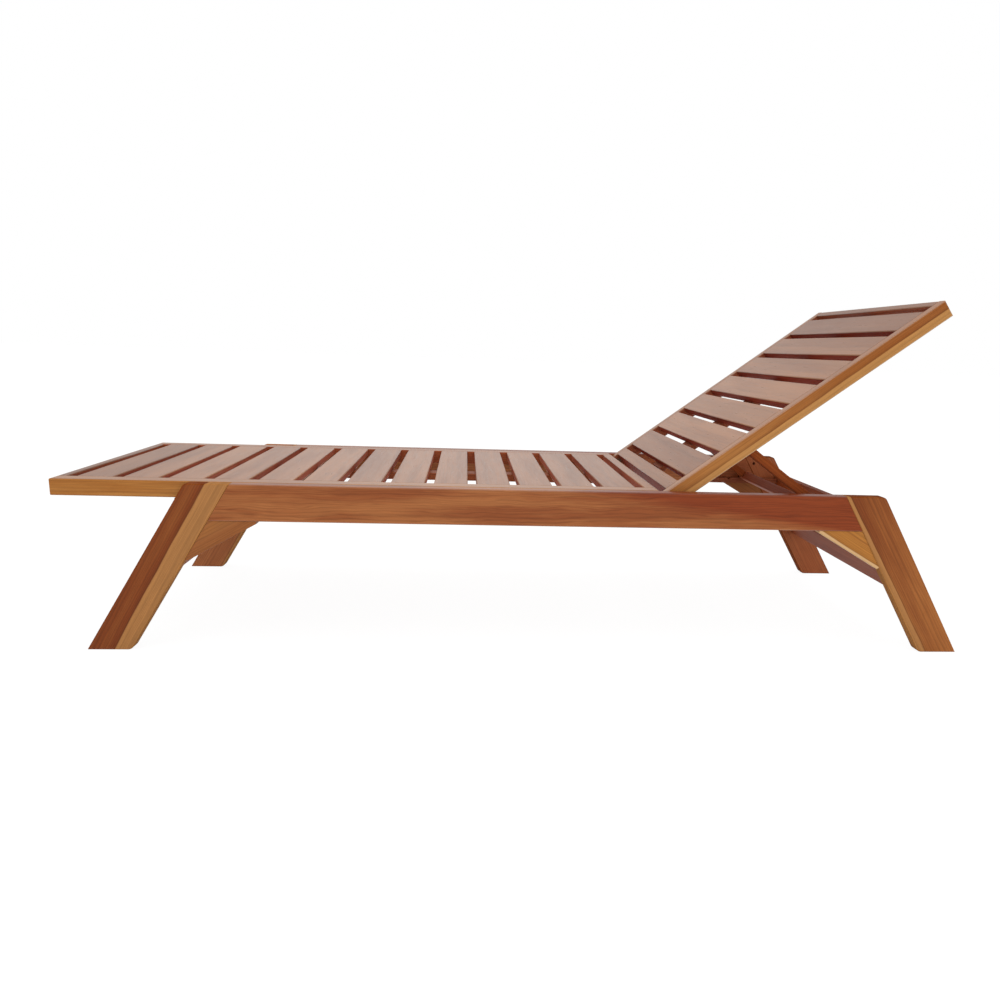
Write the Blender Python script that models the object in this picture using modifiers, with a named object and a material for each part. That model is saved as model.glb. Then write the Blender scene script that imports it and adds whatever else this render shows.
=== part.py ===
"""Teak sun lounger: a slatted seat on splayed legs, with a reclining backrest and its folding prop.

Metres, +Z up. The foot end points to -X, the head end to +X, the left side to -Y.
The origin is on the floor, under the middle of the lounger's length and width.
"""

from math import cos, pi, radians, sin, tan

import bmesh
import bpy
from mathutils import Matrix, Vector

# Overall sizes
SEAT_HEIGHT = 0.362
OVERALL_WIDTH = 0.660
FOOT_END_X = -0.9965
FRONT_LEG_TOP_X = -0.7200
REAR_LEG_TOP_X = 0.7789
CLEARANCE = 0.0003

# Side frames: deep rails, splayed legs and their corner braces
SIDE_THICKNESS = 0.027
RAIL_HEIGHT = 0.078
LEG_WIDTH = 0.0776
LEG_SPLAY = radians(31.1)
LEG_TOP_ROUND = 0.013
LEG_TOE_ROUND = 0.014
RAIL_TENON_MARGIN = 0.008
RAIL_TENON_LENGTH = 0.030
BRACE_REACH = 0.098
BRACE_NOSE = 0.005
BRACE_RECESS = 0.002

# Slatted frames of the seat and the backrest
SEAT_STILE_WIDTH = 0.038
SEAT_DEPTH = 0.035
SEAT_SLATS = 13
SEAT_SLAT_WIDTH = 0.0735
SEAT_SLAT_THICKNESS = 0.017
SEAT_GAP = 0.0197
FOOT_RAIL_WIDTH = 0.0175
SEAT_END_RAIL_WIDTH = 0.0245
BACK_STILE_WIDTH = 0.023
BACK_DEPTH = 0.038
BACK_SLATS = 7
BACK_SLAT_WIDTH = 0.071
BACK_SLAT_THICKNESS = 0.020
BACK_GAP = 0.0202
BACK_RAIL_START = 0.0095
BACK_RAIL_WIDTH = 0.0305
HEAD_RAIL_WIDTH = 0.0180
TENON_MARGIN = 0.004
TENON_LENGTH = 0.015
SEAT_BATTEN_WIDTH = 0.045
SEAT_BATTEN_THICKNESS = 0.018
BACK_BATTEN_WIDTH = 0.075
BACK_BATTEN_THICKNESS = 0.013
EASED_EDGE = 0.0022

# Cross pieces between the legs
CROSS_THICKNESS = 0.020
CROSS_HEIGHT = 0.065
FRONT_CROSS_SETBACK = 0.0295
REST_RAIL_SETBACK = 0.0100
REST_RAIL_TOP = 0.3125
STRETCHER_WIDTH = 0.066
STRETCHER_HEIGHT = 0.161

# Recline, hinge and prop
RECLINE = radians(36.6)
RECLINE_MAX = radians(64.6)
HINGE_CLEARANCE = 0.006
SWING_RATIO = 1.83
ARM_DISTANCE = 0.2067
ARM_SINK = 0.0115
ARM_REACH = 0.2559
ARM_ANGLE = radians(35.47)
ARM_WIDTH = 0.018
ARM_THICKNESS = 0.022
ARM_TENON_LENGTH = 0.0025
BAR_WIDTH = 0.024
BAR_DEPTH = 0.020
BAR_SIDE_CLEARANCE = 0.0015
PIN_RADIUS = 0.006
PIN_BITE = 0.020
PIN_END_CLEARANCE = 0.001
RACK_THICKNESS = 0.020
RACK_LENGTH = 0.262
RACK_END_CLEARANCE = 0.002
RACK_UNDER_CLEARANCE = 0.001
RACK_PIN_CLEARANCE = 0.0006
NOTCH_DEPTH = 0.005
NOTCH_HALF_WIDTH = 0.0075
NOTCH_ANGLES = [radians(a) for a in (20.0, 28.0, 36.6, 46.0, 55.0, 63.0)]

# Bolts and pegs
BOLT_HEAD_RADIUS = 0.007
BOLT_HEAD_HEIGHT = 0.004
HINGE_BOLT_RADIUS = 0.005
PROP_BOLT_RADIUS = 0.004
BOLT_BITE = 0.017
PROP_BOLT_BITE = 0.017
BOLT_STEPS = 20
PEG_RADIUS = 0.004
PEG_LENGTH = 0.020
PEG_INSET = 0.018
PEG_DROP = 0.0205

# Places that follow from the sizes above
SIDES = {"left": -1.0, "right": 1.0}
ENDS = {"front": -1.0, "rear": 1.0}
LEG_TOP_X = {"front": FRONT_LEG_TOP_X, "rear": REAR_LEG_TOP_X}
LEG_RUN = LEG_WIDTH / cos(LEG_SPLAY)
RAIL_BOTTOM = SEAT_HEIGHT - RAIL_HEIGHT
RAIL_INNER_Y = OVERALL_WIDTH / 2 - SIDE_THICKNESS
RAIL_MIDDLE_Y = OVERALL_WIDTH / 2 - SIDE_THICKNESS / 2
STILE_OUTER_Y = RAIL_INNER_Y - CLEARANCE
SEAT_STILE_INNER_Y = STILE_OUTER_Y - SEAT_STILE_WIDTH
SEAT_STILE_MIDDLE_Y = STILE_OUTER_Y - SEAT_STILE_WIDTH / 2
BACK_STILE_INNER_Y = STILE_OUTER_Y - BACK_STILE_WIDTH
BACK_STILE_MIDDLE_Y = STILE_OUTER_Y - BACK_STILE_WIDTH / 2
FRAME_BOTTOM = SEAT_HEIGHT - SEAT_DEPTH
SEAT_PITCH = SEAT_SLAT_WIDTH + SEAT_GAP
SEAT_SLAT_START = FOOT_END_X + FOOT_RAIL_WIDTH + SEAT_GAP
SEAT_END_X = SEAT_SLAT_START + SEAT_SLATS * SEAT_PITCH + SEAT_END_RAIL_WIDTH
HINGE_X = SEAT_END_X + HINGE_CLEARANCE + BACK_DEPTH / 2
HINGE_Z = SEAT_HEIGHT - BACK_DEPTH / 2
BACK_PITCH = BACK_SLAT_WIDTH + BACK_GAP
BACK_SLAT_START = BACK_RAIL_START + BACK_RAIL_WIDTH + BACK_GAP
BACK_LENGTH = BACK_SLAT_START + BACK_SLATS * BACK_PITCH + HEAD_RAIL_WIDTH
ARM_OUTER_Y = BACK_STILE_INNER_Y - CLEARANCE
ARM_MIDDLE_Y = ARM_OUTER_Y - ARM_THICKNESS / 2
ARM_INNER_Y = ARM_OUTER_Y - ARM_THICKNESS
RACK_INNER_Y = STILE_OUTER_Y - RACK_THICKNESS
PEG_Z = SEAT_HEIGHT - PEG_DROP

WELD = 0.00001


def clear_scene():
    """Remove every object that a new file starts with."""
    for item in list(bpy.data.objects):
        bpy.data.objects.remove(item)


def new_collection(name):
    """Add a collection to the scene."""
    collection = bpy.data.collections.new(name)
    bpy.context.scene.collection.children.link(collection)
    return collection


def new_material(name, color, roughness, metallic=0.0):
    """A Principled material of one colour."""
    material = bpy.data.materials.new(name)
    material.use_nodes = True
    shader = material.node_tree.nodes["Principled BSDF"]
    shader.inputs["Base Color"].default_value = (*color, 1.0)
    shader.inputs["Roughness"].default_value = roughness
    shader.inputs["Metallic"].default_value = metallic
    return material


clear_scene()
PARTS = new_collection("teak_sun_lounger")
CUTTERS = new_collection("lounger_cutters")
TEAK_TOP = new_material("teak_slats", (0.42, 0.27, 0.17), 0.55)
TEAK_FRAME = new_material("teak_frame", (0.40, 0.19, 0.06), 0.50)
TEAK_RAIL = new_material("teak_rails", (0.30, 0.10, 0.04), 0.50)
TEAK_LEG = new_material("teak_legs", (0.33, 0.13, 0.05), 0.50)
STEEL = new_material("stainless_steel", (0.56, 0.55, 0.53), 0.30, 1.0)


def place(name, mesh, material, location=(0.0, 0.0, 0.0), parent=None, turn=0.0):
    """One named sub-part, turned about Y by turn."""
    part = bpy.data.objects.new(name, mesh)
    part.location = location
    part.rotation_euler = (0.0, turn, 0.0)
    part.parent = parent
    mesh.materials.append(material)
    PARTS.objects.link(part)
    return part


def place_cutter(name, mesh, location=(0.0, 0.0, 0.0), parent=None, turn=0.0):
    """A shape that only cuts other pieces."""
    cutter = bpy.data.objects.new(name, mesh)
    cutter.location = location
    cutter.rotation_euler = (0.0, turn, 0.0)
    cutter.parent = parent
    cutter.hide_render = True
    cutter.display_type = "WIRE"
    CUTTERS.objects.link(cutter)
    return cutter


def cut(part, cutter):
    """Take the cutter's shape out of the part."""
    boolean = part.modifiers.new(cutter.name, "BOOLEAN")
    boolean.operation = "DIFFERENCE"
    boolean.object = cutter


def ease(part, by_weight=False):
    """Round the part's edges a little, only the marked ones where by_weight is set."""
    bevel = part.modifiers.new("eased_edges", "BEVEL")
    bevel.width = EASED_EDGE
    bevel.segments = 2
    bevel.limit_method = "WEIGHT" if by_weight else "ANGLE"
    bevel.angle_limit = radians(40.0)


def add_tenon(bm, direction, margin, length):
    """Inset the end face that looks along direction and draw it out into a tenon."""
    direction = Vector(direction)
    facing = [face for face in bm.faces if face.normal.dot(direction) > 0.8]
    end = max(facing, key=lambda face: face.calc_center_median().dot(direction))
    bmesh.ops.inset_individual(bm, faces=[end], thickness=margin, use_even_offset=True)
    drawn = bmesh.ops.extrude_discrete_faces(bm, faces=[end])["faces"][0]
    bmesh.ops.translate(bm, vec=direction * length, verts=drawn.verts)


def plank_mesh(name, size, axis, tenon_margin=0.0, tenon_length=0.0):
    """A box with its long edges marked for easing and, if asked, a tenon at both ends of its axis."""
    bm = bmesh.new()
    bmesh.ops.create_cube(bm, size=1.0)
    bmesh.ops.scale(bm, vec=size, verts=bm.verts)
    weight = bm.edges.layers.float.new("bevel_weight_edge")
    for edge in bm.edges:
        along = abs((edge.verts[1].co - edge.verts[0].co)[axis])
        edge[weight] = 1.0 if along > size[axis] / 2 else 0.0
    if tenon_length > 0.0:
        for sign in (-1.0, 1.0):
            direction = [0.0, 0.0, 0.0]
            direction[axis] = sign
            add_tenon(bm, direction, tenon_margin, tenon_length)
    mesh = bpy.data.meshes.new(name)
    bm.to_mesh(mesh)
    bm.free()
    return mesh


def rounded(corners, radii, steps=5):
    """Outline through the corners, with an arc of the given radius at each one that has a radius."""
    points = []
    count = len(corners)
    for index, radius in enumerate(radii):
        here = Vector(corners[index])
        if radius == 0.0:
            points.append(here)
            continue
        back = (Vector(corners[index - 1]) - here).normalized()
        ahead = (Vector(corners[(index + 1) % count]) - here).normalized()
        half = back.angle(ahead) / 2
        centre = here + (back + ahead).normalized() * (radius / sin(half))
        start = here + back * (radius / tan(half)) - centre
        sweep = -(pi - 2 * half) if back.x * ahead.y - back.y * ahead.x > 0 else pi - 2 * half
        for step in range(steps + 1):
            turned = start.copy()
            turned.rotate(Matrix.Rotation(sweep * step / steps, 2))
            points.append(centre + turned)
    return points


def tongue(radius, length, steps):
    """Outline of a strip of half-width radius: a half-round end about the origin, cut square at length."""
    turns = [pi / 2 + pi * step / steps for step in range(steps + 1)]
    end = [(radius * cos(turn), radius * sin(turn)) for turn in turns]
    return end + [(length, -radius), (length, radius)]


def outline_mesh(name, points, thickness):
    """A solid of the given thickness along Y, from an outline of X and Z points."""
    curve = bpy.data.curves.new(name, "CURVE")
    curve.dimensions = "2D"
    curve.fill_mode = "BOTH"
    curve.extrude = thickness / 2
    spline = curve.splines.new("POLY")
    spline.points.add(len(points) - 1)
    for point, (x, z) in zip(spline.points, points):
        point.co = (x, z, 0.0, 1.0)
    spline.use_cyclic_u = True
    sketch = bpy.data.objects.new(name, curve)
    CUTTERS.objects.link(sketch)
    evaluated = sketch.evaluated_get(bpy.context.evaluated_depsgraph_get())
    mesh = bpy.data.meshes.new_from_object(evaluated)
    bpy.data.objects.remove(sketch)
    bpy.data.curves.remove(curve)
    bm = bmesh.new()
    bm.from_mesh(mesh)
    bmesh.ops.remove_doubles(bm, verts=bm.verts, dist=WELD)
    bmesh.ops.dissolve_limit(bm, angle_limit=radians(0.5), verts=bm.verts, edges=bm.edges)
    bm.transform(Matrix.Rotation(pi / 2, 4, "X"))
    bmesh.ops.recalc_face_normals(bm, faces=bm.faces)
    bm.to_mesh(mesh)
    bm.free()
    mesh.name = name
    return mesh


def holes_mesh(name, boxes=(), rods=()):
    """Boxes of (centre, size, turn about Y) and rods along Y of (centre, radius, length) as one mesh."""
    bm = bmesh.new()
    for centre, size, turn in boxes:
        shape = Matrix.Translation(centre) @ Matrix.Rotation(turn, 4, "Y") @ Matrix.Diagonal((*size, 1.0))
        bmesh.ops.create_cube(bm, size=1.0, matrix=shape)
    for centre, radius, length in rods:
        shape = Matrix.Translation(centre) @ Matrix.Rotation(pi / 2, 4, "X")
        bmesh.ops.create_cone(bm, cap_ends=True, segments=BOLT_STEPS, radius1=radius, radius2=radius,
                              depth=length, matrix=shape)
    mesh = bpy.data.meshes.new(name)
    bm.to_mesh(mesh)
    bm.free()
    return mesh


def mortise(centre_x, centre_z, size_x, size_z, face_y, side, margin=TENON_MARGIN, turn=0.0):
    """Box of the pocket, open at face_y on the given side, for a tenon of the given plank section."""
    depth = TENON_LENGTH + CLEARANCE
    size = (size_x - 2 * margin + 2 * CLEARANCE, depth, size_z - 2 * margin + 2 * CLEARANCE)
    return (centre_x, side * (face_y - CLEARANCE + depth / 2), centre_z), size, turn


def bolt(name, location, side, shank_radius, shank_length, parent=None):
    """A turned bolt along Y: a flat head towards the middle of the lounger and a plain shank outwards."""
    head = BOLT_HEAD_HEIGHT
    profile = [(0.0, head), (BOLT_HEAD_RADIUS, head), (BOLT_HEAD_RADIUS, 0.0),
               (shank_radius, 0.0), (shank_radius, -shank_length), (0.0, -shank_length)]
    mesh = bpy.data.meshes.new(name)
    edges = [(index, index + 1) for index in range(len(profile) - 1)]
    mesh.from_pydata([(x, 0.0, z) for x, z in profile], edges, [])
    part = place(name, mesh, STEEL, location, parent)
    part.rotation_euler = (side * pi / 2, 0.0, 0.0)
    screw = part.modifiers.new("turned", "SCREW")
    screw.steps = BOLT_STEPS
    screw.render_steps = BOLT_STEPS
    screw.use_merge_vertices = True
    screw.merge_threshold = WELD
    return part


def leg_inner_x(end, z, gap=0.0):
    """X of the edge of a leg that faces the lounger's middle, at height z, moved off the leg by gap."""
    sign = ENDS[end]
    return LEG_TOP_X[end] + sign * ((SEAT_HEIGHT - z) * tan(LEG_SPLAY) - LEG_RUN - gap / cos(LEG_SPLAY))


def leg_middle_x(end, z):
    """X of the middle line of a leg at height z."""
    return leg_inner_x(end, z) + ENDS[end] * LEG_RUN / 2


def bar_place(recline):
    """X and Z of the prop bar's axis when the backrest stands at the recline angle."""
    tilt = ARM_ANGLE + (SWING_RATIO - 1.0) * (recline - RECLINE)
    x = HINGE_X + ARM_DISTANCE * cos(recline) + ARM_SINK * sin(recline) + ARM_REACH * cos(tilt)
    z = HINGE_Z + ARM_DISTANCE * sin(recline) - ARM_SINK * cos(recline) - ARM_REACH * sin(tilt)
    return x, z


def peg_place(end):
    """X of the peg that holds a side rail's tenon in its leg."""
    return leg_inner_x(end, PEG_Z) + ENDS[end] * PEG_INSET


def peg_hole(end, y_sign):
    """Rod of the hole for that peg, drilled from the leg's inner face."""
    depth = PEG_LENGTH + 2 * CLEARANCE
    centre = (peg_place(end), y_sign * (RAIL_INNER_Y - CLEARANCE + depth / 2), PEG_Z)
    return centre, PEG_RADIUS + CLEARANCE, depth


# Cross pieces between the legs: their middles in X and Z, section and turn about Y
FRONT_CROSS_Z = FRAME_BOTTOM - CLEARANCE - CROSS_HEIGHT / 2
FRONT_CROSS_X = LEG_TOP_X["front"] - FRONT_CROSS_SETBACK + CROSS_THICKNESS / 2
REST_RAIL_Z = REST_RAIL_TOP - CROSS_HEIGHT / 2
REST_RAIL_X = LEG_TOP_X["rear"] + REST_RAIL_SETBACK + CROSS_THICKNESS / 2
CROSS_SECTION = (CROSS_THICKNESS, CROSS_HEIGHT)
STRETCHER_SECTION = (CROSS_THICKNESS, STRETCHER_WIDTH)
STRETCHER_X = {end: leg_middle_x(end, STRETCHER_HEIGHT) for end in ENDS}
CROSS_PIECES = {
    "front": [("front_cross_rail", FRONT_CROSS_X, FRONT_CROSS_Z, CROSS_SECTION, 0.0),
              ("front_stretcher", STRETCHER_X["front"], STRETCHER_HEIGHT, STRETCHER_SECTION, LEG_SPLAY)],
    "rear": [("rear_rest_rail", REST_RAIL_X, REST_RAIL_Z, CROSS_SECTION, 0.0),
             ("rear_stretcher", STRETCHER_X["rear"], STRETCHER_HEIGHT, STRETCHER_SECTION, -LEG_SPLAY)],
}


def make_legs():
    """Splayed legs with a rounded top outer corner and toe, mortised for the rail and the cross pieces."""
    foot_shift = SEAT_HEIGHT * tan(LEG_SPLAY)
    tenon_rise = RAIL_TENON_MARGIN * cos(LEG_SPLAY)
    for end, sign in ENDS.items():
        top = LEG_TOP_X[end]
        corners = [(top, SEAT_HEIGHT), (top + sign * foot_shift, 0.0),
                   (top + sign * (foot_shift - LEG_RUN), 0.0), (top - sign * LEG_RUN, SEAT_HEIGHT)]
        points = rounded(corners, [LEG_TOP_ROUND, 0.0, LEG_TOE_ROUND, 0.0])
        high = SEAT_HEIGHT - tenon_rise + CLEARANCE
        low = RAIL_BOTTOM + tenon_rise - CLEARANCE
        reach = sign * (RAIL_TENON_LENGTH + CLEARANCE)
        pocket = [(leg_inner_x(end, high, CLEARANCE), high), (leg_inner_x(end, low, CLEARANCE), low),
                  (leg_inner_x(end, low) + reach, low), (leg_inner_x(end, high) + reach, high)]
        pocket_width = SIDE_THICKNESS - 2 * RAIL_TENON_MARGIN + 2 * CLEARANCE
        for side, y_sign in SIDES.items():
            name = f"{end}_leg_{side}"
            leg = place(name, outline_mesh(name, points, SIDE_THICKNESS), TEAK_LEG,
                        (0.0, y_sign * RAIL_MIDDLE_Y, 0.0))
            ease(leg)
            cut(leg, place_cutter(f"{name}_rail_pocket", outline_mesh(f"{name}_pocket", pocket, pocket_width),
                                  (0.0, y_sign * RAIL_MIDDLE_Y, 0.0)))
            pockets = [mortise(x, z, section[0], section[1], RAIL_INNER_Y, y_sign, turn=turn)
                       for _, x, z, section, turn in CROSS_PIECES[end]]
            holes = holes_mesh(f"{name}_pockets", pockets, [peg_hole(end, y_sign)])
            cut(leg, place_cutter(f"{name}_cross_pockets", holes))


def make_side_rails():
    """Deep side rails, their ends cut to the slope of the legs and drawn out into tenons."""
    corners = [(leg_inner_x("front", SEAT_HEIGHT, CLEARANCE), SEAT_HEIGHT),
               (leg_inner_x("front", RAIL_BOTTOM, CLEARANCE), RAIL_BOTTOM),
               (leg_inner_x("rear", RAIL_BOTTOM, CLEARANCE), RAIL_BOTTOM),
               (leg_inner_x("rear", SEAT_HEIGHT, CLEARANCE), SEAT_HEIGHT)]
    for side, y_sign in SIDES.items():
        name = f"side_rail_{side}"
        mesh = outline_mesh(name, corners, SIDE_THICKNESS)
        bm = bmesh.new()
        bm.from_mesh(mesh)
        weight = bm.edges.layers.float.new("bevel_weight_edge")
        for edge in bm.edges:
            along = edge.verts[1].co - edge.verts[0].co
            edge[weight] = 1.0 if abs(along.x) > abs(along.y) + abs(along.z) else 0.0
        for sign in ENDS.values():
            add_tenon(bm, (sign, 0.0, 0.0), RAIL_TENON_MARGIN, RAIL_TENON_LENGTH)
        bm.to_mesh(mesh)
        bm.free()
        rail = place(name, mesh, TEAK_RAIL, (0.0, y_sign * RAIL_MIDDLE_Y, 0.0))
        ease(rail, by_weight=True)
        bite = BOLT_BITE + CLEARANCE
        bite_y = y_sign * (RAIL_INNER_Y + bite / 2 - CLEARANCE)
        rods = [((HINGE_X, bite_y, HINGE_Z), HINGE_BOLT_RADIUS + CLEARANCE, bite)]
        rods += [peg_hole(end, y_sign) for end in ENDS]
        cut(rail, place_cutter(f"{name}_bolt_holes", holes_mesh(f"{name}_holes", rods=rods)))


def make_pegs():
    """Round pegs through the tenons of the side rails, set in flush with the legs' inner faces."""
    for end in ENDS:
        for side, y_sign in SIDES.items():
            name = f"{end}_peg_{side}"
            mesh = holes_mesh(name, rods=[((0.0, 0.0, 0.0), PEG_RADIUS, PEG_LENGTH)])
            place(name, mesh, TEAK_RAIL, (peg_place(end), y_sign * (RAIL_INNER_Y + PEG_LENGTH / 2), PEG_Z))


def make_braces():
    """Triangular braces in the corners between the side rails and the legs, with blunt noses."""
    for end, sign in ENDS.items():
        top = RAIL_BOTTOM - CLEARANCE
        corner = Vector((leg_inner_x(end, top, CLEARANCE), top))
        along_rail = Vector((-sign, 0.0))
        along_leg = Vector((sign * sin(LEG_SPLAY), -cos(LEG_SPLAY)))
        rail_tip = corner + along_rail * BRACE_REACH
        leg_tip = corner + along_leg * BRACE_REACH
        points = [corner, rail_tip, rail_tip + Vector((0.0, -BRACE_NOSE)),
                  leg_tip + Vector((-sign * cos(LEG_SPLAY), -sin(LEG_SPLAY))) * BRACE_NOSE, leg_tip]
        for side, y_sign in SIDES.items():
            name = f"{end}_brace_{side}"
            mesh = outline_mesh(name, points, SIDE_THICKNESS - 2 * BRACE_RECESS)
            ease(place(name, mesh, TEAK_FRAME, (0.0, y_sign * RAIL_MIDDLE_Y, 0.0)))


def make_cross_pieces():
    """Rails and stretchers that tie the two side frames together, tenoned into the legs."""
    length = 2 * (RAIL_INNER_Y - CLEARANCE)
    for pieces in CROSS_PIECES.values():
        for name, x, z, section, turn in pieces:
            mesh = plank_mesh(name, (section[0], length, section[1]), 1, TENON_MARGIN, TENON_LENGTH)
            ease(place(name, mesh, TEAK_RAIL, (x, 0.0, z), turn=turn), by_weight=True)


def cross_members(names, starts, widths, depths, top, inner_y, parent=None):
    """Slats and rails across a frame, tenoned into its stiles, with their tops at the given height."""
    length = 2 * (inner_y - CLEARANCE)
    for name, start, width, depth in zip(names, starts, widths, depths):
        mesh = plank_mesh(name, (width, length, depth), 1, TENON_MARGIN, TENON_LENGTH)
        member = place(name, mesh, TEAK_TOP, (start + width / 2, 0.0, top - depth / 2), parent)
        ease(member, by_weight=True)


def cross_pockets(starts, widths, depths, top, inner_y, y_sign):
    """Mortises of the cross members in one stile."""
    return [mortise(start + width / 2, top - depth / 2, width, depth, inner_y, y_sign)
            for start, width, depth in zip(starts, widths, depths)]


def make_seat():
    """The fixed seat frame: stiles, foot rail, slats, end rail and the batten under the slats."""
    numbers = range(SEAT_SLATS)
    names = ["foot_rail"] + [f"seat_slat_{i + 1:02d}" for i in numbers] + ["seat_end_rail"]
    starts = [FOOT_END_X] + [SEAT_SLAT_START + i * SEAT_PITCH for i in numbers]
    starts += [SEAT_END_X - SEAT_END_RAIL_WIDTH]
    widths = [FOOT_RAIL_WIDTH] + [SEAT_SLAT_WIDTH] * SEAT_SLATS + [SEAT_END_RAIL_WIDTH]
    depths = [SEAT_DEPTH] + [SEAT_SLAT_THICKNESS] * SEAT_SLATS + [SEAT_DEPTH]
    cross_members(names, starts, widths, depths, SEAT_HEIGHT, SEAT_STILE_INNER_Y)
    length = SEAT_END_X - FOOT_END_X
    for side, y_sign in SIDES.items():
        name = f"seat_stile_{side}"
        stile = place(name, plank_mesh(name, (length, SEAT_STILE_WIDTH, SEAT_DEPTH), 0), TEAK_FRAME,
                      (FOOT_END_X + length / 2, y_sign * SEAT_STILE_MIDDLE_Y, SEAT_HEIGHT - SEAT_DEPTH / 2))
        ease(stile, by_weight=True)
        pockets = cross_pockets(starts, widths, depths, SEAT_HEIGHT, SEAT_STILE_INNER_Y, y_sign)
        cut(stile, place_cutter(f"{name}_pockets", holes_mesh(f"{name}_pockets", pockets)))
    batten_start = FOOT_END_X + FOOT_RAIL_WIDTH + CLEARANCE
    batten_end = SEAT_END_X - SEAT_END_RAIL_WIDTH - CLEARANCE
    batten_top = SEAT_HEIGHT - SEAT_SLAT_THICKNESS - CLEARANCE
    size = (batten_end - batten_start, SEAT_BATTEN_WIDTH, SEAT_BATTEN_THICKNESS)
    batten = place("seat_batten", plank_mesh("seat_batten", size, 0), TEAK_RAIL,
                   ((batten_start + batten_end) / 2, 0.0, batten_top - SEAT_BATTEN_THICKNESS / 2))
    ease(batten, by_weight=True)


def make_backrest():
    """The reclining frame, drawn flat from its hinge axis outwards and turned up by its empty."""
    hinge = bpy.data.objects.new("backrest_axis", None)
    hinge.location = (HINGE_X, 0.0, HINGE_Z)
    hinge.rotation_euler = (0.0, -RECLINE, 0.0)
    PARTS.objects.link(hinge)
    numbers = range(BACK_SLATS)
    top = BACK_DEPTH / 2
    names = ["back_bottom_rail"] + [f"back_slat_{i + 1}" for i in numbers] + ["head_rail"]
    starts = [BACK_RAIL_START] + [BACK_SLAT_START + i * BACK_PITCH for i in numbers]
    starts += [BACK_LENGTH - HEAD_RAIL_WIDTH]
    widths = [BACK_RAIL_WIDTH] + [BACK_SLAT_WIDTH] * BACK_SLATS + [HEAD_RAIL_WIDTH]
    depths = [BACK_DEPTH] + [BACK_SLAT_THICKNESS] * BACK_SLATS + [BACK_DEPTH]
    cross_members(names, starts, widths, depths, top, BACK_STILE_INNER_Y, hinge)
    points = tongue(top, BACK_LENGTH, 16)
    for side, y_sign in SIDES.items():
        name = f"back_stile_{side}"
        stile = place(name, outline_mesh(name, points, BACK_STILE_WIDTH), TEAK_FRAME,
                      (0.0, y_sign * BACK_STILE_MIDDLE_Y, 0.0), hinge)
        ease(stile)
        pockets = cross_pockets(starts, widths, depths, top, BACK_STILE_INNER_Y, y_sign)
        arm_bite = PROP_BOLT_BITE + CLEARANCE
        rods = [((0.0, y_sign * BACK_STILE_MIDDLE_Y, 0.0), HINGE_BOLT_RADIUS + CLEARANCE,
                 BACK_STILE_WIDTH * 1.2),
                ((ARM_DISTANCE, y_sign * (BACK_STILE_INNER_Y + arm_bite / 2 - CLEARANCE), -ARM_SINK),
                 PROP_BOLT_RADIUS + CLEARANCE, arm_bite)]
        holes = holes_mesh(f"{name}_pockets", pockets, rods)
        cut(stile, place_cutter(f"{name}_pockets", holes, parent=hinge))
        bolt(f"hinge_bolt_{side}", (HINGE_X, y_sign * (BACK_STILE_INNER_Y - CLEARANCE), HINGE_Z), y_sign,
             HINGE_BOLT_RADIUS, BACK_STILE_WIDTH + BOLT_BITE)
    batten_start = BACK_SLAT_START - BACK_GAP / 2
    batten_end = BACK_LENGTH - HEAD_RAIL_WIDTH - BACK_GAP / 2
    size = (batten_end - batten_start, BACK_BATTEN_WIDTH, BACK_BATTEN_THICKNESS)
    batten = place("back_batten", plank_mesh("back_batten", size, 0), TEAK_RAIL,
                   ((batten_start + batten_end) / 2, 0.0,
                    top - BACK_SLAT_THICKNESS - CLEARANCE - BACK_BATTEN_THICKNESS / 2), hinge)
    ease(batten, by_weight=True)
    return hinge


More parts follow.
